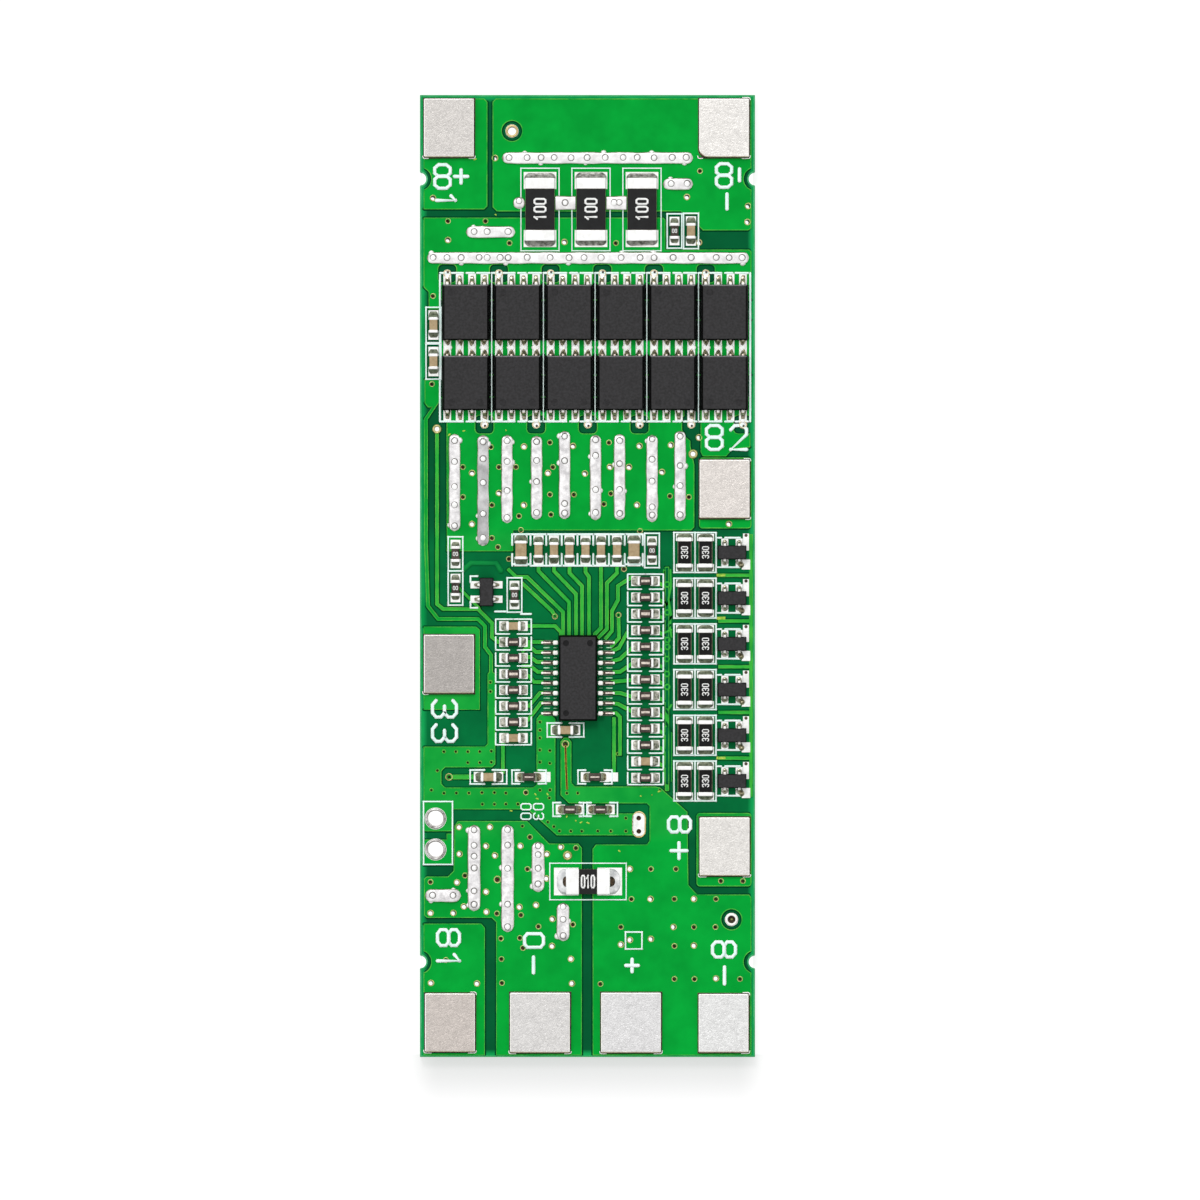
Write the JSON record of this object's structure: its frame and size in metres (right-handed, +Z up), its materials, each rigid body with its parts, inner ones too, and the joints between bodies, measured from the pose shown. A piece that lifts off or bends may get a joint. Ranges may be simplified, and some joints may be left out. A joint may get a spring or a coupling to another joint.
{
  "type": "battery management board",
  "caption": "Long narrow circuit board with power transistors, shunts, balancing resistors, a controller chip, solder bars and flat metal tabs.",
  "frame": {"origin": "middle of the underside of the laminate", "axes": "+Z up out of the component side, +Y along the board towards the end with the power transistors, +X to the right"},
  "size_m": [0.0336, 0.0962, 0.0032],
  "materials": {
    "board": "green solder mask over laminate, tinned lands",
    "tab": "dull speckled nickel plate",
    "moulding": "dark moulding compound",
    "thick_film": "black glaze with tinned end caps",
    "capacitor_ceramic": "fired ceramic with tinned end caps",
    "solder": "bright flowed solder"
  },
  "bodies": {
    "root": {"balance_transistor_1": "moulding", "balance_transistor_2": "moulding", "balance_transistor_3": "moulding", "balance_transistor_4": "moulding", "balance_transistor_5": "moulding", "balance_transistor_6": "moulding", "bleed_resistor_1_left": "thick_film", "bleed_resistor_1_right": "thick_film", "bleed_resistor_2_left": "thick_film", "bleed_resistor_2_right": "thick_film", "bleed_resistor_3_left": "thick_film", "bleed_resistor_3_right": "thick_film", "bleed_resistor_4_left": "thick_film", "bleed_resistor_4_right": "thick_film", "bleed_resistor_5_left": "thick_film", "bleed_resistor_5_right": "thick_film", "bleed_resistor_6_left": "thick_film", "bleed_resistor_6_right": "thick_film", "cell_one_tab": "tab", "cell_three_tab": "tab", "cell_two_tab": "tab", "channel_resistors": "thick_film", "charge_mosfet_1": "moulding", "charge_mosfet_2": "moulding", "charge_mosfet_3": "moulding", "charge_mosfet_4": "moulding", "charge_mosfet_5": "moulding", "charge_mosfet_6": "moulding", "circuit_board": "board", "controller_chip": "moulding", "discharge_mosfet_1": "moulding", "discharge_mosfet_2": "moulding", "discharge_mosfet_3": "moulding", "discharge_mosfet_4": "moulding", "discharge_mosfet_5": "moulding", "discharge_mosfet_6": "moulding", "filter_capacitors": "capacitor_ceramic", "load_negative_tab": "tab", "load_positive_tab": "tab", "load_shunt_resistor": "thick_film", "load_solder_bars": "solder", "pack_negative_tab": "tab", "pack_positive_tab": "tab", "pin_resistors": "thick_film", "regulator_resistors": "thick_film", "regulator_transistor": "moulding", "selector_resistors": "thick_film", "sense_capacitor": "capacitor_ceramic", "sense_resistor": "thick_film", "shunt_resistor_1": "thick_film", "shunt_resistor_2": "thick_film", "shunt_resistor_3": "thick_film", "snubber_capacitors": "capacitor_ceramic", "source_solder_bars": "solder", "supply_capacitors": "capacitor_ceramic", "timing_resistor": "thick_film", "upper_negative_tab": "tab", "upper_positive_tab": "tab", "upper_solder_bars": "solder"}
  },
  "joints": []
}
